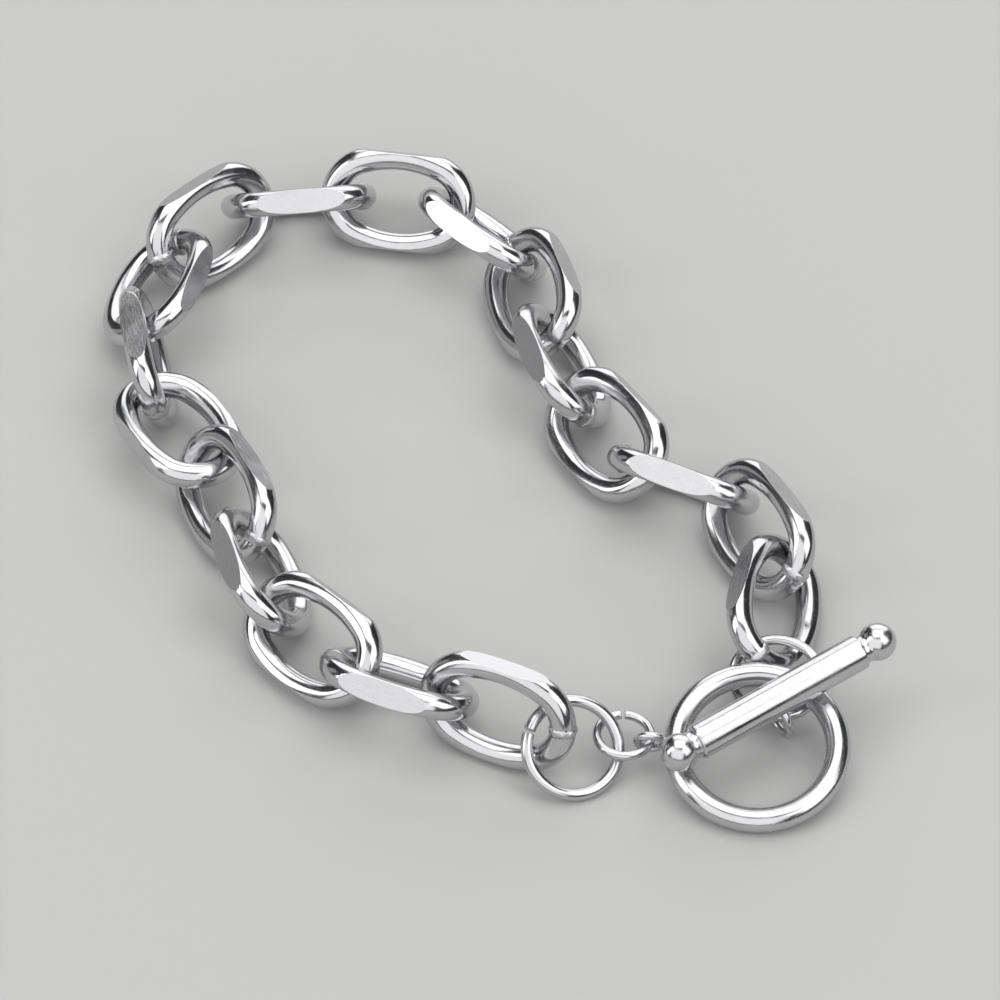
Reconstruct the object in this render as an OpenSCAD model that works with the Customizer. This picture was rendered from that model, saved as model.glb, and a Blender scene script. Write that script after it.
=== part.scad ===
// Link bracelet with a toggle clasp, in millimetres, lying closed on a flat surface.
// Eighteen flat-sided oval links run in a loop from the large jump ring round to
// the bar ring; every piece is loose and only passes through its neighbours.
// The floor is z = 0 and the origin is the middle of the wrist opening.

/* [Chain links] */
// Diameter of the round wire of a link
link_wire = 2.6; // [2.2:0.1:2.7]
// Outside length of one link
link_length = 16.2; // [15:0.1:17.5]
// Depth of the flat on each long side of a link
flat_depth = 0.85; // [0.4:0.05:1]

/* [Jump rings] */
// Outside diameter of the large jump ring
large_ring_diameter = 10.3; // [9.8:0.1:10.8]
// Wire diameter of the large jump ring
large_ring_wire = 1.2; // [0.9:0.1:1.3]
// Outside diameter of the small jump ring
small_ring_diameter = 6.1; // [5.9:0.1:6.8]
// Wire diameter of the small jump ring
small_ring_wire = 0.9; // [0.7:0.1:1]
// Outside diameter of the ring that carries the toggle bar
bar_ring_diameter = 9.7; // [9.5:0.1:10.4]
// Wire diameter of the ring that carries the toggle bar
bar_ring_wire = 1; // [0.8:0.1:1.1]

/* [Toggle clasp] */
// Outside diameter of the toggle ring
toggle_diameter = 18; // [17:0.5:19.5]
// Wire diameter of the toggle ring
toggle_wire = 2.4; // [2:0.1:2.5]
// Diameter of the toggle bar
bar_diameter = 3.5; // [3:0.1:3.8]
// Diameter of the ball at each end of the bar
ball_diameter = 3.7; // [3.2:0.1:4]
// Length of the toggle bar over its balls
bar_length = 26.2; // [24:0.2:30]
// Wire diameter of the two soldered eyes
eye_wire = 0.8; // [0.6:0.1:0.9]

/* [Hidden] */
$fn = 48;
// clearances and joints
link_play = 0.6;      // slack between two neighbouring links along the chain
bar_clear = 0.12;     // air between the bar's balls and the toggle ring they lie across
under_clear = 0.28;   // air between the toggle ring's far side and the bar ring below it
tip_clear = 0.47;     // air between the last link's tip and the toggle ring, in plan
eye_play = 0.1;       // extra width of the bar's eye round the bar ring
split_gap = 0.35;     // width of the cut through a jump ring

// one link: two round ends joined by two flatter sides, all of the same wire
link_width = max(0.722 * link_length, 4.5 * link_wire);
pitch = link_length - 2 * link_wire - link_play;
half_l = (link_length - link_wire) / 2;
half_w = (link_width - link_wire) / 2;
side_r = 0.7 * (link_length + 0.2);
end_r = (side_r * side_r - half_l * half_l - pow(side_r - half_w, 2)) / (2 * (side_r - half_l));
end_x = half_l - end_r;
side_y = side_r - half_w;
end_angle = atan2(side_y, end_x);
// each seam between two arcs is bridged by a very low collar
hair = 0.2;
collar_length = 0.25;
collar_step = 0.02;

// route of the chain from the large jump ring to the bar ring:
// compass heading of each link and how far it leans (positive: left side up)
route = [
    [160, -70], [160, 35], [140, -40], [110, 45], [120, -55], [125, 5],
    [102.5, 75], [77.5, -30], [47.5, 60], [10, -45], [-5, 50], [-42.5, -45],
    [-70, 45], [-70, -45], [-52.5, 40], [-22.5, -50], [-57.5, 55], [-100, -45]
];
links = len(route);

// how the clasp lies: the toggle ring is held up at its far side by the bar ring
toggle_tilt = 13.5;
bar_heading = 35;
bar_spot = [0.24, 0.5];          // middle of the bar, in ring radii
small_ring_lean = [0, 2];
large_ring_lean = [33, 16];
bar_ring_lean = [9.7, 0.7];

// round wires measured along their middle line
toggle_r = (toggle_diameter - toggle_wire) / 2;
large_r = (large_ring_diameter - large_ring_wire) / 2;
small_r = (small_ring_diameter - small_ring_wire) / 2;
bar_ring_r = (bar_ring_diameter - bar_ring_wire) / 2;
ring_eye_diameter = 2 * eye_wire + small_ring_wire + 0.9;
ball_rise = max(0, (ball_diameter - bar_diameter) / 2);   // the balls hold the bar up
bar_eye_diameter = 2 * eye_wire + bar_ring_wire + toggle_wire + ball_rise + eye_play;
solder = 0.6 * eye_wire;          // how deep a soldered eye reaches into its neighbour
ball_span = bar_length - ball_diameter;
neck_diameter = 0.8 * bar_diameter;
neck_length = 0.1;
bevel = 0.25;

// places in the tilted frame of the toggle ring, then on the floor
toggle_z = toggle_wire / 2 + toggle_r * sin(toggle_tilt);
function tilted(p) = [p.x, p.y * cos(toggle_tilt) - p.z * sin(toggle_tilt),
    toggle_z + p.y * sin(toggle_tilt) + p.z * cos(toggle_tilt)];
bar_at = [bar_spot.x * toggle_r, bar_spot.y * toggle_r,
    toggle_wire / 2 + bar_diameter / 2 + ball_rise + bar_clear];
ring_eye_at = [-(toggle_diameter + ring_eye_diameter) / 2 + solder, 0, 0];
bar_eye_drop = (bar_diameter + bar_eye_diameter) / 2 - solder;
small_ring_at = tilted(ring_eye_at) + small_r * [-1, 0.25, 0];
large_ring_z = large_ring_wire / 2
    + large_r * sqrt(1 - pow(cos(large_ring_lean.x) * cos(large_ring_lean.y), 2));
large_ring_at = [small_ring_at.x - 1.18 * (large_r - 0.18 * small_r),
    small_ring_at.y - 0.51 * (large_r - 0.18 * small_r), large_ring_z];
bar_eye_at = tilted(bar_at - [0, 0, bar_eye_drop]);
bar_ring_x = bar_eye_at.x - 0.066 * bar_ring_r;
bar_ring_y = bar_eye_at.y + 1.11 * bar_ring_r;
bar_ring_z = toggle_z + toggle_r * sin(toggle_tilt) - (toggle_wire + bar_ring_wire) / 2
    - under_clear - (toggle_r * cos(toggle_tilt) - bar_ring_y) * tan(bar_ring_lean.x);
bar_ring_at = [bar_ring_x, bar_ring_y, bar_ring_z];

// the chain's first and last hooking points, in plan
chain_start = [large_ring_at.x - 0.55 * large_r, large_ring_at.y + 0.17 * large_r];
chain_end = [bar_ring_x - 0.33 * bar_ring_r,
    toggle_diameter / 2 * cos(toggle_tilt) + link_wire + tip_clear];

// closing the loop: a small extra turn shared by all links sets the distance
// between the chain's ends, then the whole chain is turned to meet both of them
function bent(k, b) = route[k].x + b * (k - (links - 1) / 2);
function hook(k, b) = k == 0 ? [0, 0]
    : hook(k - 1, b) + pitch * [cos(bent(k - 1, b)), sin(bent(k - 1, b))];
span = norm(chain_end - chain_start);
function solve(lo, hi, n) = n == 0 ? (lo + hi) / 2
    : let (m = (lo + hi) / 2)
      norm(hook(links, m)) > span ? solve(lo, m, n - 1) : solve(m, hi, n - 1);
bend = solve(-6, 6, 30);
chord = hook(links, bend);
swing = atan2(chain_end.y - chain_start.y, chain_end.x - chain_start.x) - atan2(chord.y, chord.x);
function turned(p) = [p.x * cos(swing) - p.y * sin(swing), p.x * sin(swing) + p.y * cos(swing)];
function hook_at(k) = chain_start + turned(hook(k, bend));

// height of a link's middle: it leans on its flat, or is carried by its neighbours
flat_half = sqrt(pow(link_wire / 2, 2) - pow(link_wire / 2 - flat_depth, 2));
function resting(lean) = (link_width / 2 - flat_depth) * abs(sin(lean))
    + max(flat_half * abs(cos(lean)), link_wire / 2 * pow(cos(lean), 2));
function rest_of(k) = resting(route[min(max(k, 0), links - 1)].y);
function height_of(k) = max(rest_of(k), (rest_of(k - 1) + rest_of(k + 1)) / 2 - 0.35);

// middle of the wrist opening, which is the origin of the part
wrist_middle = [-27.9, 32.7];

module placed() {
    translate([-wrist_middle.x, -wrist_middle.y, 0]) children();
}

module arc_wire(r, wire, from, sweep) {
    rotate([0, 0, from]) rotate_extrude(angle = sweep) translate([r, 0]) circle(d = wire);
}

module full_ring(r, wire) {
    rotate_extrude() translate([r, 0]) circle(d = wire);
}

module split_ring(diameter, wire, split_side) {
    r = (diameter - wire) / 2;
    cut = 360 * split_gap / (2 * PI * r);
    arc_wire(r, wire, split_side + cut / 2, 360 - cut);
}

module link_shape() {
    difference() {
        union() {
            for (s = [0, 180]) rotate([0, 0, s]) {
                translate([end_x, 0, 0])
                    arc_wire(end_r, link_wire, hair - end_angle, 2 * (end_angle - hair));
                translate([0, -side_y, 0])
                    arc_wire(side_r, link_wire, end_angle + hair, 180 - 2 * (end_angle + hair));
                for (m = [0, 1]) mirror([0, m, 0]) translate([end_x, 0, 0])
                    rotate([0, 0, end_angle]) translate([end_r, 0, 0]) rotate([90, 0, 0])
                        cylinder(h = collar_length, d = link_wire + 2 * collar_step, center = true);
            }
        }
        for (s = [-1, 1])
            translate([0, s * (link_width / 2 - flat_depth + link_wire), 0])
                cube([link_length, 2 * link_wire, 2 * link_wire], center = true);
    }
}

module link(k) {
    a = hook_at(k);
    b = hook_at(k + 1);
    color([0.78, 0.78, 0.8])
        placed() translate([(a.x + b.x) / 2, (a.y + b.y) / 2, height_of(k)])
            rotate([0, 0, bent(k, bend) + swing]) rotate([route[k].y, 0, 0]) link_shape();
}

module jump_ring_large() {
    color([0.74, 0.74, 0.76]) placed() translate(large_ring_at)
        rotate([large_ring_lean.x, 0, 0]) rotate([0, large_ring_lean.y, 0])
            split_ring(large_ring_diameter, large_ring_wire, 165);
}

module jump_ring_small() {
    color([0.74, 0.74, 0.76]) placed() translate(small_ring_at)
        rotate([small_ring_lean.x, 0, 0]) rotate([0, small_ring_lean.y, 0])
            split_ring(small_ring_diameter, small_ring_wire, 95);
}

module bar_ring() {
    color([0.74, 0.74, 0.76]) placed() translate(bar_ring_at)
        rotate([bar_ring_lean.x, 0, 0]) rotate([0, bar_ring_lean.y, 0])
            split_ring(bar_ring_diameter, bar_ring_wire, 20);
}

module toggle_ring() {
    color([0.8, 0.8, 0.82]) placed() translate([0, 0, toggle_z]) rotate([toggle_tilt, 0, 0]) {
        full_ring(toggle_r, toggle_wire);
        translate(ring_eye_at) rotate([90, 0, 0])
            full_ring((ring_eye_diameter - eye_wire) / 2, eye_wire);
    }
}

module bar_end() {
    body = (ball_span - ball_diameter) / 2 - neck_length / 2;
    cylinder(h = body - bevel, d = bar_diameter);
    translate([0, 0, body - bevel])
        cylinder(h = bevel, d1 = bar_diameter, d2 = bar_diameter - 2 * bevel);
    translate([0, 0, body - bevel]) cylinder(h = ball_span / 2 - body + bevel, d = neck_diameter);
    translate([0, 0, ball_span / 2]) sphere(d = ball_diameter);
}

module toggle_bar() {
    color([0.8, 0.8, 0.82]) placed() translate([0, 0, toggle_z]) rotate([toggle_tilt, 0, 0])
        translate(bar_at) rotate([0, 0, bar_heading]) {
            rotate([0, 90, 0]) bar_end();
            rotate([0, -90, 0]) bar_end();
            translate([0, 0, -bar_eye_drop]) rotate([0, 90, 0])
                full_ring((bar_eye_diameter - eye_wire) / 2, eye_wire);
        }
}

module link_01() { link(0); }
module link_02() { link(1); }
module link_03() { link(2); }
module link_04() { link(3); }
module link_05() { link(4); }
module link_06() { link(5); }
module link_07() { link(6); }
module link_08() { link(7); }
module link_09() { link(8); }
module link_10() { link(9); }
module link_11() { link(10); }
module link_12() { link(11); }
module link_13() { link(12); }
module link_14() { link(13); }
module link_15() { link(14); }
module link_16() { link(15); }
module link_17() { link(16); }
module link_18() { link(17); }

link_01();
link_02();
link_03();
link_04();
link_05();
link_06();
link_07();
link_08();
link_09();
link_10();
link_11();
link_12();
link_13();
link_14();
link_15();
link_16();
link_17();
link_18();
jump_ring_large();
jump_ring_small();
bar_ring();
toggle_ring();
toggle_bar();
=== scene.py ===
# Steel link bracelet with a toggle clasp, lying closed on a pale floor.
# The sizes are in millimetres, and the meshes are made in metres, in the frame of the solids.
import math

import bmesh
import bpy
from mathutils import Matrix, Vector


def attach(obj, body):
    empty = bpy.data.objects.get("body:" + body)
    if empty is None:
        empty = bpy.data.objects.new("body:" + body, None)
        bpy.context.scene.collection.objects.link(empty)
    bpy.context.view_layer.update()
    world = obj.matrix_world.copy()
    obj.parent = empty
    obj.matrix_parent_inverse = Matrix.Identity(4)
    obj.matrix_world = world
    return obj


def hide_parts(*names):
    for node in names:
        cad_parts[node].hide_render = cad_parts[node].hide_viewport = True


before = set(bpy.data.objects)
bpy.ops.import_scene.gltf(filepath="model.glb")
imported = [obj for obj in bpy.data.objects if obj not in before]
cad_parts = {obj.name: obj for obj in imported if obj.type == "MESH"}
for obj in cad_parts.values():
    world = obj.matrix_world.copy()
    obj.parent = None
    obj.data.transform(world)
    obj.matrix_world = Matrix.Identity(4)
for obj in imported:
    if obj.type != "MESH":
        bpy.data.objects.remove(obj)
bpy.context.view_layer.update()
MM = 0.001
BODY = "root"
rad = math.radians

# ---------------------------------------------------------------- sizes, in millimetres
LINK_WIRE, LINK_LENGTH, FLAT_DEPTH = 2.6, 16.2, 0.85
LARGE_RING, LARGE_WIRE = 10.3, 1.2
SMALL_RING, SMALL_WIRE = 6.1, 0.9
BAR_RING, BAR_RING_WIRE = 9.7, 1.0
TOGGLE, TOGGLE_WIRE = 18.0, 2.4
BAR, BALL, BAR_LENGTH, EYE_WIRE = 3.5, 3.7, 26.2, 0.8
SPLIT_GAP = 0.35                             # width of the cut through a jump ring
NECK_SHARE, NECK_LENGTH = 0.8, 0.1           # the neck beside a ball, as a share of the bar
SHOULDER = 0.25                              # rounding of the bar's ends
LINK_PLAY = 0.6                              # slack between two neighbouring links
BAR_CLEAR = 0.12                             # air between the bar's balls and the toggle ring
UNDER_CLEAR = 0.28                           # air between the toggle ring and the bar ring
TIP_CLEAR = 0.47                             # air between the last link and the toggle ring
EYE_PLAY = 0.1                               # extra width of the bar's eye
CARRY_DROP = 0.35                            # how low a link hangs between its neighbours
EDGE_BREAK = 0.06                            # width of the broken sharp edges
WRIST_MIDDLE = Vector((-27.9, 32.7, 0))

LINK_WIDTH = max(0.722 * LINK_LENGTH, 4.5 * LINK_WIRE)
PITCH = LINK_LENGTH - 2 * LINK_WIRE - LINK_PLAY
half_l, half_w = (LINK_LENGTH - LINK_WIRE) / 2, (LINK_WIDTH - LINK_WIRE) / 2
SIDE_R = 0.7 * (LINK_LENGTH + 0.2)
END_R = (SIDE_R**2 - half_l**2 - (SIDE_R - half_w) ** 2) / (2 * (SIDE_R - half_l))
END_X, SIDE_Y = half_l - END_R, SIDE_R - half_w
SEAM = math.atan2(SIDE_Y, END_X)

# compass heading of each link and how far it leans, from the large jump ring to the bar ring
ROUTE = [(160, -70), (160, 35), (140, -40), (110, 45), (120, -55), (125, 5),
         (102.5, 75), (77.5, -30), (47.5, 60), (10, -45), (-5, 50), (-42.5, -45),
         (-70, 45), (-70, -45), (-52.5, 40), (-22.5, -50), (-57.5, 55), (-100, -45)]
LINKS = len(ROUTE)
TILT, BAR_HEADING = 13.5, 35.0
BAR_SPOT = (0.24, 0.5)                       # middle of the bar, in toggle ring radii
SMALL_LEAN, LARGE_LEAN, BAR_RING_LEAN = (0, 2), (33, 16), (9.7, 0.7)
# where each ring hangs from the one before it, in plan and in ring radii
SMALL_HANGS, LARGE_HANGS, BAR_RING_HANGS = (-1, 0.25), (-1.18, -0.51), (-0.066, 1.11)
START_HANGS, END_HANGS = (-0.55, 0.17), -0.33   # the chain's two ends, in their rings


def rot(axis, degrees):
    return Matrix.Rotation(rad(degrees), 4, axis)


def at(x, y, z):
    return Matrix.Translation((x, y, z))


# ---------------------------------------------------------------- where each piece lies
toggle_r, large_r = (TOGGLE - TOGGLE_WIRE) / 2, (LARGE_RING - LARGE_WIRE) / 2
small_r, bar_ring_r = (SMALL_RING - SMALL_WIRE) / 2, (BAR_RING - BAR_RING_WIRE) / 2
ball_rise = max(0.0, (BALL - BAR) / 2)
ring_eye = 2 * EYE_WIRE + SMALL_WIRE + 0.9
bar_eye = 2 * EYE_WIRE + BAR_RING_WIRE + TOGGLE_WIRE + ball_rise + EYE_PLAY
SOLDER = 0.6 * EYE_WIRE
toggle_z = TOGGLE_WIRE / 2 + toggle_r * math.sin(rad(TILT))
TOGGLE_PLACE = at(0, 0, toggle_z) @ rot("X", TILT)
bar_at = Vector((BAR_SPOT[0] * toggle_r, BAR_SPOT[1] * toggle_r,
                 TOGGLE_WIRE / 2 + BAR / 2 + ball_rise + BAR_CLEAR))
eye_drop = (BAR + bar_eye) / 2 - SOLDER
ring_eye_at = Vector((-(TOGGLE + ring_eye) / 2 + SOLDER, 0, 0))
small_at = TOGGLE_PLACE @ ring_eye_at + small_r * Vector((*SMALL_HANGS, 0))
reach = large_r - 0.18 * small_r
steep = math.sqrt(1 - (math.cos(rad(LARGE_LEAN[0])) * math.cos(rad(LARGE_LEAN[1]))) ** 2)
large_at = Vector((small_at.x + LARGE_HANGS[0] * reach, small_at.y + LARGE_HANGS[1] * reach,
                   LARGE_WIRE / 2 + large_r * steep))
bar_eye_at = TOGGLE_PLACE @ (bar_at - Vector((0, 0, eye_drop)))
bar_ring_at = Vector((bar_eye_at.x + BAR_RING_HANGS[0] * bar_ring_r,
                      bar_eye_at.y + BAR_RING_HANGS[1] * bar_ring_r, 0))
far_side = toggle_r * math.cos(rad(TILT)) - bar_ring_at.y
bar_ring_at.z = (toggle_z + toggle_r * math.sin(rad(TILT)) - (TOGGLE_WIRE + BAR_RING_WIRE) / 2
                 - UNDER_CLEAR - far_side * math.tan(rad(BAR_RING_LEAN[0])))
chain_start = Vector((large_at.x + START_HANGS[0] * large_r, large_at.y + START_HANGS[1] * large_r))
chain_end = Vector((bar_ring_at.x + END_HANGS * bar_ring_r,
                    TOGGLE / 2 * math.cos(rad(TILT)) + LINK_WIRE + TIP_CLEAR))


def hooks(bend):
    """Where the links hook into each other, in plan, with a small extra turn at each."""
    here, out = Vector((0, 0)), [Vector((0, 0))]
    for k, (heading, _) in enumerate(ROUTE):
        a = rad(heading + bend * (k - (LINKS - 1) / 2))
        here = here + PITCH * Vector((math.cos(a), math.sin(a)))
        out.append(here)
    return out


# the extra turn is halved in on until the chain spans the clasp
low, high = -6.0, 6.0
for _ in range(30):
    bend = (low + high) / 2
    if hooks(bend)[-1].length > (chain_end - chain_start).length:
        high = bend
    else:
        low = bend
span, chord = chain_end - chain_start, hooks(bend)[-1]
swing = math.degrees(math.atan2(span.y, span.x) - math.atan2(chord.y, chord.x))
turn = Matrix.Rotation(rad(swing), 2)
hook = [chain_start + turn @ h for h in hooks(bend)]
flat_half = math.sqrt((LINK_WIRE / 2) ** 2 - (LINK_WIRE / 2 - FLAT_DEPTH) ** 2)


def resting(lean):
    """Height of a link's middle when it leans on the floor."""
    s, c = abs(math.sin(rad(lean))), abs(math.cos(rad(lean)))
    return (LINK_WIDTH / 2 - FLAT_DEPTH) * s + max(flat_half * c, LINK_WIRE / 2 * c * c)


rests = [resting(lean) for _, lean in ROUTE]


def link_place(k):
    """A link rests on the floor or hangs between its neighbours, whichever is higher."""
    beside = (rests[max(k - 1, 0)] + rests[min(k + 1, LINKS - 1)]) / 2
    z = max(rests[k], beside - CARRY_DROP)
    m = (hook[k] + hook[k + 1]) / 2
    heading = ROUTE[k][0] + bend * (k - (LINKS - 1) / 2) + swing
    return at(m.x, m.y, z) @ rot("Z", heading) @ rot("X", ROUTE[k][1])


ROW = at(*(-WRIST_MIDDLE))                   # from the clasp's own frame to the part's frame


# ---------------------------------------------------------------- steel
DARKER = 0.93                                # tint of the duller patches
WELD_ROUGH, CUT_ROUGH = 0.16, 0.07           # extra roughness on the welds and the flats
GRIND_DEPTH = 1e-7                           # depth of the grinding lines, in metres


def steel(name, tint, rough, streak, dent, weld_dent=0.0):
    """Polished steel: near-mirror metal with wiping marks and very shallow waviness.

    streak, dent and weld_dent are depths in metres: of the hairlines, of the waviness and of
    the pits in a weld. A steel with weld_dent also reads the masks of the welds and flats."""
    m = bpy.data.materials.new(name)
    m.use_nodes = True
    n, ln = m.node_tree.nodes, m.node_tree.links
    n.clear()
    out, metal = n.new("ShaderNodeOutputMaterial"), n.new("ShaderNodeBsdfPrincipled")
    ln.new(metal.outputs[0], out.inputs[0])
    metal.inputs["Metallic"].default_value = 1.0
    own = n.new("ShaderNodeAttribute")           # the piece's own frame: marks follow the piece
    own.attribute_name = "own"

    def noise(scale, stretch, turn_by, detail, roughness=0.55):
        place, tex = n.new("ShaderNodeMapping"), n.new("ShaderNodeTexNoise")
        place.inputs["Scale"].default_value = stretch
        place.inputs["Rotation"].default_value = turn_by
        ln.new(own.outputs["Vector"], place.inputs["Vector"])
        ln.new(place.outputs[0], tex.inputs["Vector"])
        tex.inputs["Scale"].default_value = scale
        tex.inputs["Detail"].default_value = detail
        tex.inputs["Roughness"].default_value = roughness
        return tex.outputs["Fac"]

    def ramp(fac, stops):
        r = n.new("ShaderNodeValToRGB")
        for element, (position, colour) in zip(r.color_ramp.elements, stops):
            element.position, element.color = position, (*colour, 1)
        ln.new(fac, r.inputs[0])
        return r.outputs[0]

    def spread(fac, low_to, high_to, from_low=0.3, from_high=0.7):
        r = n.new("ShaderNodeMapRange")
        r.inputs["From Min"].default_value, r.inputs["From Max"].default_value = from_low, from_high
        r.inputs["To Min"].default_value, r.inputs["To Max"].default_value = low_to, high_to
        ln.new(fac, r.inputs["Value"])
        return r.outputs[0]

    def bump(height, depth, under=None):
        r = n.new("ShaderNodeBump")
        r.inputs["Strength"].default_value, r.inputs["Distance"].default_value = 1.0, depth
        ln.new(height, r.inputs["Height"])
        if under:
            ln.new(under, r.inputs["Normal"])
        return r.outputs[0]

    def combined(a, b, mode="ADD"):
        r = n.new("ShaderNodeMath")
        r.operation = mode
        ln.new(a, r.inputs[0])
        ln.new(b, r.inputs[1])
        return r.outputs[0]

    # slow clouds in tint and polish, crossed by hairlines in two directions
    cloud = noise(260, (1, 1, 1), (0, 0, 0), 4)
    darker = tuple(c * DARKER for c in tint)
    ln.new(ramp(cloud, [(0.35, darker), (0.62, tint)]), metal.inputs["Base Color"])
    wiped = noise(900, (1, 14, 14), (0.2, 0.3, 0.5), 5, 0.7)
    crossed = noise(1100, (16, 1, 16), (0.6, 0.1, 1.9), 5, 0.7)
    marks = combined(wiped, crossed, "MULTIPLY")
    smear = spread(cloud, rough * 0.7, rough * 1.5)
    hair = spread(marks, 0.0, rough * 1.3, 0.22, 0.4)
    skin = combined(smear, hair)
    if weld_dent:
        mask, cut = n.new("ShaderNodeAttribute"), n.new("ShaderNodeAttribute")
        mask.attribute_name, cut.attribute_name = "weld", "cut"
        skin = combined(skin, spread(mask.outputs["Fac"], 0.0, WELD_ROUGH, 0.0, 1.0))
        skin = combined(skin, spread(cut.outputs["Fac"], 0.0, CUT_ROUGH, 0.0, 1.0))
    ln.new(skin, metal.inputs["Roughness"])
    wave = noise(330, (1, 1, 1), (0.4, 0.2, 0.9), 1.5)
    surface = bump(marks, streak, bump(wave, dent))
    if weld_dent:
        pits = combined(mask.outputs["Fac"], noise(4200, (1, 1, 1), (0, 0.5, 1.2), 4), "MULTIPLY")
        grind = combined(cut.outputs["Fac"], noise(700, (1, 1, 30), (0, 0, 0), 3, 0.6), "MULTIPLY")
        surface = bump(grind, GRIND_DEPTH, bump(pits, weld_dent, surface))
    ln.new(surface, metal.inputs["Normal"])
    return m


LINK_STEEL = steel("polished_link_steel", (0.59, 0.59, 0.6), 0.12, 1.3e-7, 1.5e-5, 1.2e-4)
WIRE_STEEL = steel("drawn_ring_wire", (0.57, 0.57, 0.58), 0.14, 3e-7, 1e-5)
CLASP_STEEL = steel("turned_clasp_steel", (0.6, 0.6, 0.61), 0.15, 1.2e-7, 8e-6)


# ---------------------------------------------------------------- node trees for the swept pieces
LINK_SIDES, RING_SIDES = 48, 36              # facets round a wire
END_STEPS, SIDE_STEPS, RING_STEPS = 80, 36, 145


class Tree:
    """A Geometry Nodes tree with named inputs, ending in Realize Instances and Set Material."""

    def __init__(self, name, sizes, steel_material):
        self.t = bpy.data.node_groups.new(name, "GeometryNodeTree")
        face = self.t.interface
        face.new_socket("Geometry", in_out="INPUT", socket_type="NodeSocketGeometry")
        self.keys = {}
        for label, value in sizes.items():
            kind = "NodeSocketVector" if isinstance(value, (tuple, Vector)) else "NodeSocketFloat"
            s = face.new_socket(label, in_out="INPUT", socket_type=kind)
            self.keys[label] = s.identifier
        face.new_socket("Geometry", in_out="OUTPUT", socket_type="NodeSocketGeometry")
        self.inp, self.out = self.t.nodes.new("NodeGroupInput"), self.t.nodes.new("NodeGroupOutput")
        self.steel = steel_material

    def size(self, label):
        return self.inp.outputs[label]

    def node(self, kind, ins=None, **props):
        nd = self.t.nodes.new(kind)
        for k, v in props.items():
            setattr(nd, k, v)
        for k, v in (ins or {}).items():
            sock = nd.inputs[k]
            for one in (v if isinstance(v, list) else [v]):
                if isinstance(one, bpy.types.NodeSocket):
                    self.t.links.new(one, sock)
                else:
                    sock.default_value = one
        return nd

    def math(self, op, *args):
        return self.node("ShaderNodeMath", dict(enumerate(args)), operation=op).outputs[0]

    def joined(self, arcs):
        """Arcs that meet at their ends become one closed spline; an arc with a gap stays open."""
        line = self.node("GeometryNodeCurveToMesh", {"Curve": arcs}).outputs[0]
        line = self.node("GeometryNodeMergeByDistance",
                         {"Geometry": line, "Distance": 2e-6}).outputs[0]
        line = self.node("GeometryNodeMeshToCurve", {"Mesh": line}).outputs[0]
        return self.node("GeometryNodeSetCurveNormal", {"Curve": line}, mode="Z_UP").outputs[0]

    def keep_own(self, geometry, shift):
        """Stores the untransformed position, shifted for this piece, for the steel's fine marks."""
        away = self.math("MULTIPLY", shift, 0.01)
        shift = self.node("ShaderNodeCombineXYZ", {"X": away, "Y": away, "Z": away}).outputs[0]
        spot = self.node("GeometryNodeInputPosition").outputs[0]
        spot = self.node("ShaderNodeVectorMath", {0: spot, 1: shift}).outputs[0]
        return self.node("GeometryNodeStoreNamedAttribute",
                         {"Geometry": geometry, "Name": "own", "Value": spot},
                         data_type="FLOAT_VECTOR", domain="POINT").outputs[0]

    def moved(self, geometry, **changes):
        """The geometry with Translation, Rotation or Scale given."""
        return self.node("GeometryNodeTransform", {"Geometry": geometry, **changes}).outputs[0]

    def finish(self, geometry):
        real = self.node("GeometryNodeRealizeInstances", {"Geometry": geometry}).outputs[0]
        put = self.node("GeometryNodeSetMaterial", {"Geometry": real, "Material": self.steel})
        self.t.links.new(put.outputs[0], self.out.inputs[0])


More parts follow.
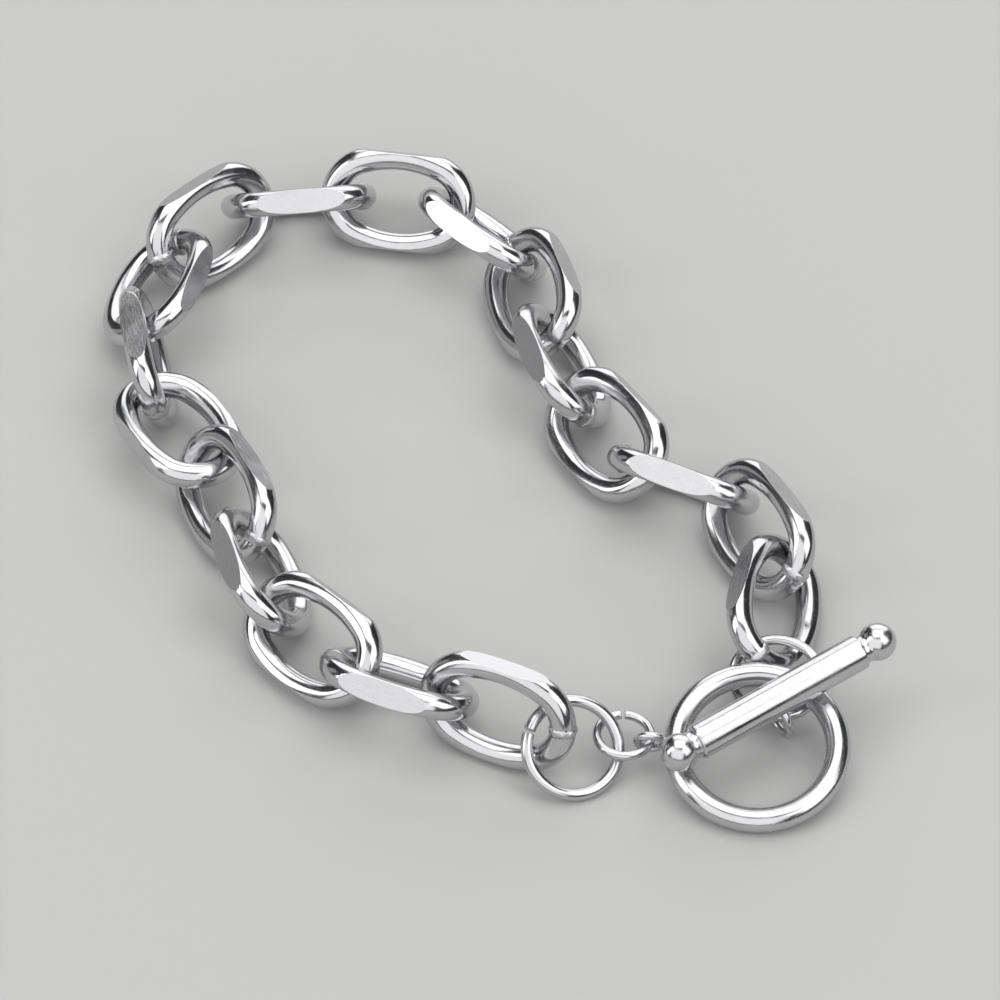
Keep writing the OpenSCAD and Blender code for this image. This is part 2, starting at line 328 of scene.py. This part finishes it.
def link_tree():
    """One link: four arcs of wire in an oval, and a flat cut along each long side."""
    t = Tree("oval_link", {"Wire": 0.0, "End radius": 0.0, "End offset": 0.0, "Side radius": 0.0,
                           "Side offset": 0.0, "Seam angle": 0.0, "Flat plane": 0.0,
                           "Weld at": (0, 0, 0), "Weld along": (0, 0, 0), "Weld width": 0.0,
                           "Weld height": 0.0, "Seed": 0.0,
                           "Place": (0, 0, 0), "Turn": (0, 0, 0)}, LINK_STEEL)
    seam = t.size("Seam angle")

    def arc(radius, start, sweep, dx, dy, steps):
        a = t.node("GeometryNodeCurveArc", {"Resolution": steps, "Radius": radius,
                                            "Start Angle": start, "Sweep Angle": sweep})
        move = t.node("ShaderNodeCombineXYZ", {"X": dx, "Y": dy}).outputs[0]
        return t.moved(a.outputs[0], Translation=move)

    end = arc(t.size("End radius"), t.math("MULTIPLY", seam, -1.0), t.math("MULTIPLY", seam, 2.0),
              t.size("End offset"), 0.0, END_STEPS)
    side = arc(t.size("Side radius"), seam,
               t.math("SUBTRACT", math.pi, t.math("MULTIPLY", seam, 2.0)),
               0.0, t.math("MULTIPLY", t.size("Side offset"), -1.0), SIDE_STEPS)
    half = t.node("GeometryNodeJoinGeometry", {"Geometry": [side, end]}).outputs[0]
    other = t.moved(half, Rotation=(0, 0, math.pi))
    oval = t.joined(t.node("GeometryNodeJoinGeometry", {"Geometry": [other, half]}).outputs[0])
    wire_r = t.math("MULTIPLY", t.size("Wire"), 0.5)
    wire = t.node("GeometryNodeCurvePrimitiveCircle",
                  {"Resolution": LINK_SIDES, "Radius": wire_r}).outputs[0]
    tube = t.node("GeometryNodeCurveToMesh", {"Curve": oval, "Profile Curve": wire}).outputs[0]
    # the weld: a low lumpy bead across the wire at one end
    spot = t.node("GeometryNodeInputPosition").outputs[0]
    away = t.node("ShaderNodeVectorMath", {0: spot, 1: t.size("Weld at")},
                  operation="SUBTRACT").outputs[0]
    along = t.node("ShaderNodeVectorMath", {0: away, 1: t.size("Weld along")},
                   operation="DOT_PRODUCT").outputs["Value"]
    reach = t.node("ShaderNodeVectorMath", {0: away}, operation="LENGTH").outputs["Value"]
    band = t.node("ShaderNodeMapRange", {"Value": t.math("ABSOLUTE", along),
                                         "From Min": t.math("MULTIPLY", t.size("Weld width"), 0.15),
                                         "From Max": t.math("MULTIPLY", t.size("Weld width"), 0.5),
                                         "To Min": 1.0, "To Max": 0.0},
                  interpolation_type="SMOOTHSTEP").outputs[0]
    near = t.math("LESS_THAN", reach, t.math("MULTIPLY", t.size("Wire"), 0.7))
    bead = t.math("MULTIPLY", band, near)
    lumps = t.node("ShaderNodeTexNoise", {"Vector": spot, "W": t.size("Seed"), "Scale": 2400.0,
                                          "Detail": 2.0}, noise_dimensions="4D").outputs["Fac"]
    lumps = t.node("ShaderNodeMapRange", {"Value": lumps, "From Min": 0.36, "From Max": 0.66,
                                          "To Min": 0.1, "To Max": 1.0}).outputs[0]
    rise = t.math("MULTIPLY", t.math("MULTIPLY", bead, lumps), t.size("Weld height"))
    out = t.node("GeometryNodeInputNormal").outputs[0]
    push = t.node("ShaderNodeVectorMath", {0: out, "Scale": rise}, operation="SCALE").outputs[0]
    tube = t.node("GeometryNodeSetPosition", {"Geometry": tube, "Offset": push}).outputs[0]
    tube = t.node("GeometryNodeStoreNamedAttribute",
                  {"Geometry": tube, "Name": "weld", "Value": bead},
                  data_type="FLOAT", domain="POINT").outputs[0]
    # the flats: a box cuts each long side
    cutters = []
    for sign in (1, -1):
        depth = t.math("MULTIPLY", t.size("Wire"), 2.0)
        size = t.node("ShaderNodeCombineXYZ", {"X": 0.03, "Y": depth, "Z": depth}).outputs[0]
        box = t.node("GeometryNodeMeshCube", {"Size": size}).outputs[0]
        y = t.math("MULTIPLY", t.math("ADD", t.size("Flat plane"), t.size("Wire")), float(sign))
        move = t.node("ShaderNodeCombineXYZ", {"Y": y}).outputs[0]
        cutters.append(t.moved(box, Translation=move))
    both = t.node("GeometryNodeJoinGeometry", {"Geometry": cutters}).outputs[0]
    cut = t.node("GeometryNodeMeshBoolean", {"Mesh 1": tube, "Mesh 2": both},
                 operation="DIFFERENCE", solver="EXACT").outputs[0]
    facing = t.node("GeometryNodeInputNormal").outputs[0]
    sideways = t.node("ShaderNodeSeparateXYZ", {0: facing}).outputs[1]
    round_side = t.math("LESS_THAN", t.math("ABSOLUTE", sideways), 0.99995)
    smooth = t.node("GeometryNodeSetShadeSmooth", {0: cut, "Shade Smooth": round_side}).outputs[0]
    flat_side = t.math("SUBTRACT", 1.0, round_side)
    smooth = t.node("GeometryNodeStoreNamedAttribute",
                    {"Geometry": smooth, "Name": "cut", "Value": flat_side},
                    data_type="FLOAT", domain="FACE").outputs[0]
    smooth = t.keep_own(smooth, t.size("Seed"))
    t.finish(t.moved(smooth, Translation=t.size("Place"), Rotation=t.size("Turn")))
    return t


def grow(name, tree, sizes):
    """Runs a tree with these sizes and returns its result as a plain mesh object."""
    seed = bpy.data.objects.new(name + "_seed", bpy.data.meshes.new(name + "_seed"))
    bpy.context.scene.collection.objects.link(seed)
    mod = seed.modifiers.new("grow", "NODES")
    mod.node_group = tree.t
    for label, value in sizes.items():
        mod[tree.keys[label]] = value
    graph = bpy.context.evaluated_depsgraph_get()
    mesh = bpy.data.meshes.new_from_object(seed.evaluated_get(graph))
    seed.modifiers.remove(mod)
    bpy.data.objects.remove(seed)
    mesh.name = name
    mesh.materials.clear()
    mesh.materials.append(tree.steel)
    mesh.polygons.foreach_set("material_index", [0] * len(mesh.polygons))
    obj = bpy.data.objects.new(name, mesh)
    bpy.context.scene.collection.objects.link(obj)
    return obj


def piece(obj, node):
    """Puts a finished mesh in the place of its solid."""
    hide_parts(node)
    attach(obj, BODY)


def ease_edges(obj, least_angle):
    """Breaks the sharp edges a little, as tumbling does, and keeps the cut faces flat."""
    bm = bmesh.new()
    bm.from_mesh(obj.data)
    sharp = [e for e in bm.edges if e.is_manifold and e.calc_face_angle() > rad(least_angle)]
    bmesh.ops.bevel(bm, geom=sharp, offset=EDGE_BREAK * MM, offset_type="OFFSET", segments=2,
                    profile=0.5, affect="EDGES", clamp_overlap=True)
    bm.to_mesh(obj.data)
    bm.free()


def seat(matrix):
    """A millimetre matrix of the row as the place and turn inputs of a tree, in metres."""
    return {"Place": tuple(matrix.translation * MM), "Turn": tuple(matrix.to_euler("XYZ"))}


oval_link = link_tree()
WELD_WIDTH, WELD_HEIGHT = 0.9, 0.17
SEED_STEP = 3.7                              # sets each link's welds and marks apart
# degrees round each link at which its weld lies: 0 is the end towards the next link
WELDS = [186, 8, 172, -9, 190, 5, 184, -6, 175, 10, 188, -4, 176, 7, 183, 171, 6, -8]
for k in range(LINKS):
    side, round_by = (1, WELDS[k]) if abs(WELDS[k]) < 90 else (-1, WELDS[k] - 180)
    c, s = math.cos(rad(round_by)), math.sin(rad(round_by))
    weld_at = side * Vector((END_X + END_R * c, END_R * s, 0)) * MM
    link = grow(f"oval_link_{k + 1:02d}", oval_link, {
        "Wire": LINK_WIRE * MM, "End radius": END_R * MM, "End offset": END_X * MM,
        "Side radius": SIDE_R * MM, "Side offset": SIDE_Y * MM, "Seam angle": SEAM,
        "Flat plane": (LINK_WIDTH / 2 - FLAT_DEPTH) * MM,
        "Weld at": tuple(weld_at), "Weld along": (-s, c, 0.0), "Weld width": WELD_WIDTH * MM,
        "Weld height": WELD_HEIGHT * MM, "Seed": k * SEED_STEP, **seat(ROW @ link_place(k))})
    ease_edges(link, 40)
    piece(link, f"link_{k + 1:02d}")


def ring_tree(name, steel_material, parts, solder=False):
    """Round wires bent to circles. Each part is an arc with its own place; the last two inputs
    put the whole piece in its place."""
    sizes = {}
    for p in parts:
        sizes.update({p + " radius": 0.0, p + " wire": 0.0, p + " gap start": 0.0, p + " gap": 0.0,
                      p + " at": (0, 0, 0), p + " turn": (0, 0, 0)})
    if solder:
        sizes.update({"Solder at": (0, 0, 0), "Solder size": (0, 0, 0)})
    sizes.update({"Place": (0, 0, 0), "Turn": (0, 0, 0)})
    t = Tree(name, sizes, steel_material)
    rings = []
    for p in parts:
        sweep = t.math("SUBTRACT", 2 * math.pi, t.size(p + " gap"))
        arc = t.node("GeometryNodeCurveArc",
                     {"Resolution": RING_STEPS, "Radius": t.size(p + " radius"),
                      "Start Angle": t.size(p + " gap start"), "Sweep Angle": sweep}).outputs[0]
        arc = t.joined(arc)
        wire_r = t.math("MULTIPLY", t.size(p + " wire"), 0.5)
        wire = t.node("GeometryNodeCurvePrimitiveCircle",
                      {"Resolution": RING_SIDES, "Radius": wire_r}).outputs[0]
        split = t.node("FunctionNodeCompare", {0: t.size(p + " gap"), 1: 1e-4},
                       data_type="FLOAT", operation="GREATER_THAN").outputs[0]
        tube = t.node("GeometryNodeCurveToMesh", {"Curve": arc, "Profile Curve": wire,
                                                  "Fill Caps": split}).outputs[0]
        rings.append(t.moved(tube, Translation=t.size(p + " at"), Rotation=t.size(p + " turn")))
    if solder:
        lump = t.node("GeometryNodeMeshUVSphere",
                      {"Segments": 40, "Rings": 24, "Radius": 1.0}).outputs[0]
        lumpy = t.node("ShaderNodeTexNoise", {"Scale": 2.2, "Detail": 2.0}).outputs["Fac"]
        swell = t.node("ShaderNodeVectorMath", {0: t.node("GeometryNodeInputNormal").outputs[0],
                                                "Scale": t.math("MULTIPLY", lumpy, 0.3)},
                       operation="SCALE").outputs[0]
        lump = t.node("GeometryNodeSetPosition", {"Geometry": lump, "Offset": swell}).outputs[0]
        rings.append(t.moved(lump, Translation=t.size("Solder at"), Scale=t.size("Solder size")))
    both = t.node("GeometryNodeJoinGeometry", {"Geometry": rings}).outputs[0]
    smooth = t.node("GeometryNodeSetShadeSmooth", {0: both, "Shade Smooth": True}).outputs[0]
    smooth = t.keep_own(smooth, t.size(parts[0] + " wire"))
    t.finish(t.moved(smooth, Translation=t.size("Place"), Rotation=t.size("Turn")))
    return t


# jump rings: one wire each, with a narrow cut
wire_ring = ring_tree("jump_ring", WIRE_STEEL, ["Ring"])
SPLITS = [("large_jump_ring", "jump_ring_large", large_r, LARGE_WIRE, 165, large_at, LARGE_LEAN),
          ("small_jump_ring", "jump_ring_small", small_r, SMALL_WIRE, 95, small_at, SMALL_LEAN),
          ("bar_jump_ring", "bar_ring", bar_ring_r, BAR_RING_WIRE, 20, bar_ring_at, BAR_RING_LEAN)]


def flat_caps(obj):
    """The two sawn ends of a ring are flat; the rest of the wire is round."""
    for face in obj.data.polygons:
        face.use_smooth = len(face.vertices) < 9


for name, node, radius, wire, side, spot, lean in SPLITS:
    gap = SPLIT_GAP / radius
    where = ROW @ at(*spot) @ rot("X", lean[0]) @ rot("Y", lean[1])
    ring = grow(name, wire_ring, {"Ring radius": radius * MM, "Ring wire": wire * MM,
                                  "Ring gap start": rad(side) + gap / 2, "Ring gap": gap,
                                  **seat(where)})
    ease_edges(ring, 50)
    flat_caps(ring)
    piece(ring, node)

# toggle ring with its soldered eye
clasp_ring = ring_tree("toggle_ring", CLASP_STEEL, ["Ring", "Eye"], solder=True)
toggle_ring = grow("toggle_ring_and_eye", clasp_ring, {
    "Ring radius": toggle_r * MM, "Ring wire": TOGGLE_WIRE * MM,
    "Eye radius": (ring_eye - EYE_WIRE) / 2 * MM, "Eye wire": EYE_WIRE * MM,
    "Eye at": tuple(ring_eye_at * MM), "Eye turn": (math.pi / 2, 0, 0),
    "Solder at": (-TOGGLE / 2 * MM, 0, 0), "Solder size": (0.0003, 0.0005, 0.00075),
    **seat(ROW @ TOGGLE_PLACE)})
piece(toggle_ring, "toggle_ring")


def lathe(profile, steps=96):
    """Turns a list of (distance along x, radius) round the x axis; the ends lie on the axis."""
    verts, faces = [], []
    rows = []
    for x, r in profile:
        if r < 1e-9:
            rows.append([len(verts)])
            verts.append((x, 0, 0))
            continue
        rows.append(list(range(len(verts), len(verts) + steps)))
        verts += [(x, r * math.cos(2 * math.pi * i / steps), r * math.sin(2 * math.pi * i / steps))
                  for i in range(steps)]
    for a, b in zip(rows, rows[1:]):
        for i in range(steps):
            j = (i + 1) % steps
            if len(a) == 1:
                faces.append((a[0], b[j], b[i]))
            elif len(b) == 1:
                faces.append((a[i], a[j], b[0]))
            else:
                faces.append((a[i], a[j], b[j], b[i]))
    return verts, faces


def bar_profile():
    """Half of the bar from its middle to the tip of a ball, then mirrored."""
    ball, centre = BALL / 2, (BAR_LENGTH - BALL) / 2
    body, neck = centre - ball - NECK_LENGTH / 2, NECK_SHARE * BAR / 2
    half = [(0.0, BAR / 2), (body * 0.5, BAR / 2), (body - SHOULDER - 0.02, BAR / 2)]
    for i in range(7):                          # rounded shoulder of the bar
        a = math.pi / 2 * i / 6
        half.append((body - SHOULDER + SHOULDER * math.sin(a),
                     BAR / 2 - SHOULDER + SHOULDER * math.cos(a)))
    half += [(body + 0.005, neck + 0.01), (body + 0.02, neck)]
    start = math.asin(neck / ball)
    x0 = centre - ball * math.cos(start)
    half += [(x0 - 0.02, neck)]
    for i in range(1, 41):                      # the ball
        a = start + (math.pi - start) * i / 40
        half.append((centre - ball * math.cos(a), ball * math.sin(a) if i < 40 else 0.0))
    return [(-x, r) for x, r in reversed(half[1:])] + half


verts, faces = lathe(bar_profile())
bar_place = ROW @ TOGGLE_PLACE @ at(*bar_at) @ rot("Z", BAR_HEADING)
bar_mesh = bpy.data.meshes.new("toggle_bar_and_eye")
bar_mesh.from_pydata([Matrix.Scale(MM, 4) @ bar_place @ Vector(v) for v in verts], [], faces)
bar_mesh.materials.append(CLASP_STEEL)
own = bar_mesh.attributes.new("own", "FLOAT_VECTOR", "POINT")
own.data.foreach_set("vector", [c * MM for v in verts for c in v])
bar_eye_tree = ring_tree("bar_eye", CLASP_STEEL, ["Eye"], solder=True)
eye = grow("bar_eye", bar_eye_tree, {
    "Eye radius": (bar_eye - EYE_WIRE) / 2 * MM, "Eye wire": EYE_WIRE * MM,
    "Solder at": ((0.45 - bar_eye / 2) * MM, 0, 0), "Solder size": (0.0003, 0.00075, 0.0006),
    **seat(bar_place @ at(0, 0, -eye_drop) @ rot("Y", 90))})
bm = bmesh.new()
bm.from_mesh(bar_mesh)
bm.from_mesh(eye.data)
bmesh.ops.recalc_face_normals(bm, faces=bm.faces)
for f in bm.faces:
    f.smooth = True
bm.to_mesh(bar_mesh)
bm.free()
bpy.data.objects.remove(eye)
toggle_bar = bpy.data.objects.new("toggle_bar_and_eye", bar_mesh)
bpy.context.scene.collection.objects.link(toggle_bar)
piece(toggle_bar, "toggle_bar")


# ---------------------------------------------------------------- floor, lights and camera
def plain(name, colour, rough):
    m = bpy.data.materials.new(name)
    m.use_nodes = True
    b = m.node_tree.nodes["Principled BSDF"]
    b.inputs["Base Color"].default_value = (*colour, 1)
    b.inputs["Roughness"].default_value = rough
    return m


FLOOR_HALF, FLOOR_SUNK = 9.0, 0.00002        # metres; sunk a hair so that nothing flickers

floor = bpy.data.objects.new("floor", bpy.data.meshes.new("floor"))
corners = [(x * FLOOR_HALF, y * FLOOR_HALF, 0) for x, y in ((-1, -1), (1, -1), (1, 1), (-1, 1))]
floor.data.from_pydata(corners, [], [(0, 1, 2, 3)])
floor.location.z = -FLOOR_SUNK
floor.data.materials.append(plain("pale_floor", (0.46, 0.46, 0.455), 0.7))
bpy.context.scene.collection.objects.link(floor)

world = bpy.data.worlds.new("studio_air")
world.use_nodes = True
world.node_tree.nodes["Background"].inputs[0].default_value = (0.04, 0.04, 0.042, 1)
bpy.context.scene.world = world
bpy.context.scene.view_settings.view_transform = "Standard"


LIGHT_DISTANCE = 2.5
MIDDLE = Vector((0, 0, 0.005))               # the middle of the bracelet's height


def softbox(name, azimuth, elevation, width, height, watts):
    """A rectangular light that faces the bracelet; azimuth 0 is in front, 90 to the right."""
    light = bpy.data.lights.new(name, "AREA")
    light.shape, light.size, light.size_y, light.energy = "RECTANGLE", width, height, watts
    o = bpy.data.objects.new(name, light)
    a, e = rad(azimuth), rad(elevation)
    back = Vector((math.sin(a) * math.cos(e), -math.cos(a) * math.cos(e), math.sin(e)))
    o.location = MIDDLE + back * LIGHT_DISTANCE
    o.rotation_mode = "QUATERNION"
    o.rotation_quaternion = (-back).to_track_quat("-Z", "Y")
    bpy.context.scene.collection.objects.link(o)


# name, azimuth, elevation, width, height, brightness (1 shows as white paper)
for name, azimuth, height_angle, width, height, bright in (
        ("front_panel", -14, 36, 3.75, 2.8, 1.3),
        ("top_panel", 180, 78, 2.75, 2.5, 2.0),
        ("back_panel", 174, 26, 3.0, 1.85, 1.7),
        ("right_panel", 65, 42, 1.75, 2.0, 1.9),
        ("left_strip", -74, 30, 0.8, 2.25, 2.5),
        ("left_card", -108, 15, 0.85, 1.25, 0.36)):
    softbox(name, azimuth, height_angle, width, height, bright * math.pi * width * height)

# the camera stands above the floor and looks at the toggle ring through a long lens
CAMERA_DISTANCE, CAMERA_HEIGHT = 0.6, 50     # metres, degrees
PICTURE_PX, FOCAL_PX, RING_PX = 1000, 6240.0, (757.0, 747.0)
SENSOR = 36.0
ring_middle = (ROW @ Vector((0, 0, toggle_z))) * MM
elevation = rad(CAMERA_HEIGHT)
back = Vector((0, -math.cos(elevation), math.sin(elevation)))
u, v = (RING_PX[0] - PICTURE_PX / 2) / FOCAL_PX, (PICTURE_PX / 2 - RING_PX[1]) / FOCAL_PX
sight, to_ring = -back, -back * math.sqrt(1 + u * u + v * v)
for _ in range(12):                          # turns until the ring stands at RING_PX
    right = sight.cross(Vector((0, 0, 1))).normalized()
    sight = (to_ring - u * right - v * right.cross(sight)).normalized()
lens = bpy.data.cameras.new("camera")
lens.sensor_width, lens.lens = SENSOR, SENSOR * FOCAL_PX / PICTURE_PX
lens.clip_start, lens.clip_end = 0.01, 10
camera = bpy.data.objects.new("camera", lens)
camera.location = ring_middle + back * CAMERA_DISTANCE
camera.rotation_mode = "QUATERNION"
camera.rotation_quaternion = sight.to_track_quat("-Z", "Y")
bpy.context.scene.collection.objects.link(camera)
bpy.context.scene.camera = camera
